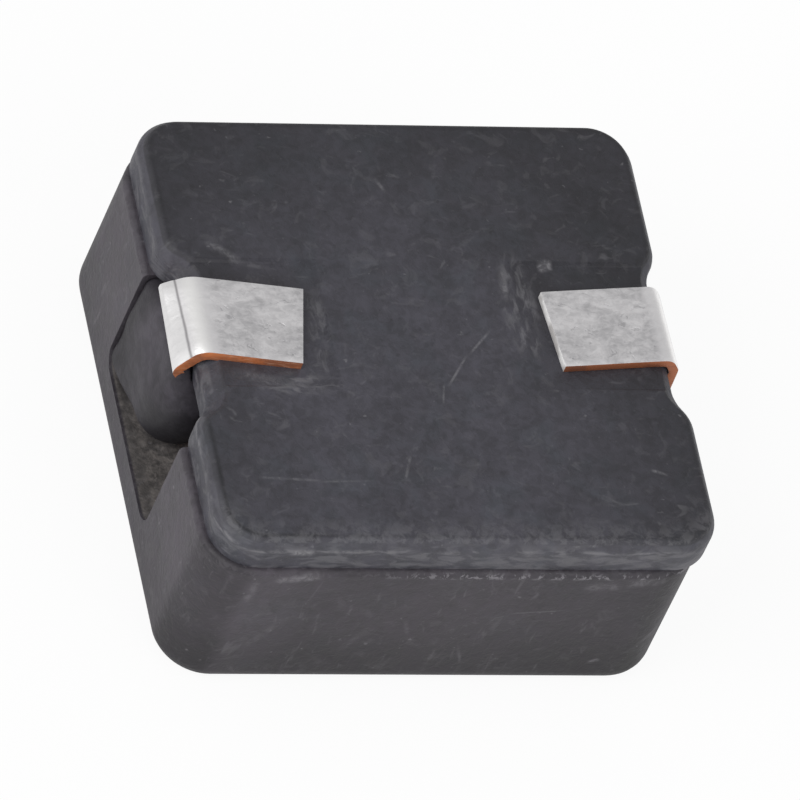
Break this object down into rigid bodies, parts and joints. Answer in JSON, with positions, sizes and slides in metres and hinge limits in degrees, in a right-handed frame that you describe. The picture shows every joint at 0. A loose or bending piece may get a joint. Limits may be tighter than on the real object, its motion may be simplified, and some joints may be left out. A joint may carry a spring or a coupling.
{
  "type": "shielded SMD inductor",
  "caption": "Square shielded surface-mount power inductor: a two-piece powder core closed round a flat-wire coil, with tinned strip leads folded on to its mounting face.",
  "frame": {"origin": "middle of the pot core's closed flat face, which the part lies on", "axes": "+Z from the closed face towards the face with the solder pads, so the pads face up and the part is turned over to mount it on a board; +X from the left terminal to the right one; +Y to the back, the side that the windows' resin beads lie towards"},
  "size_m": [0.0132, 0.0131, 0.0059],
  "materials": {
    "pot_core": "pressed and fired metal powder, smooth and dull, a little lighter along its edges",
    "plate_core": "pressed and fired metal powder, satin, with fine scratches and pale scuffs",
    "enamelled_copper": "flat copper wire under clear brown enamel",
    "tinned_copper": "satin tin on the broad faces, bare copper on the cut edges",
    "black_resin": "dark cast resin, smooth and softly glossy"
  },
  "bodies": {
    "root": {"core_pot": "pot_core", "core_plate": "plate_core", "winding": "enamelled_copper", "terminal_left": "tinned_copper", "terminal_right": "tinned_copper", "bead_left": "black_resin", "bead_right": "black_resin"}
  },
  "joints": []
}
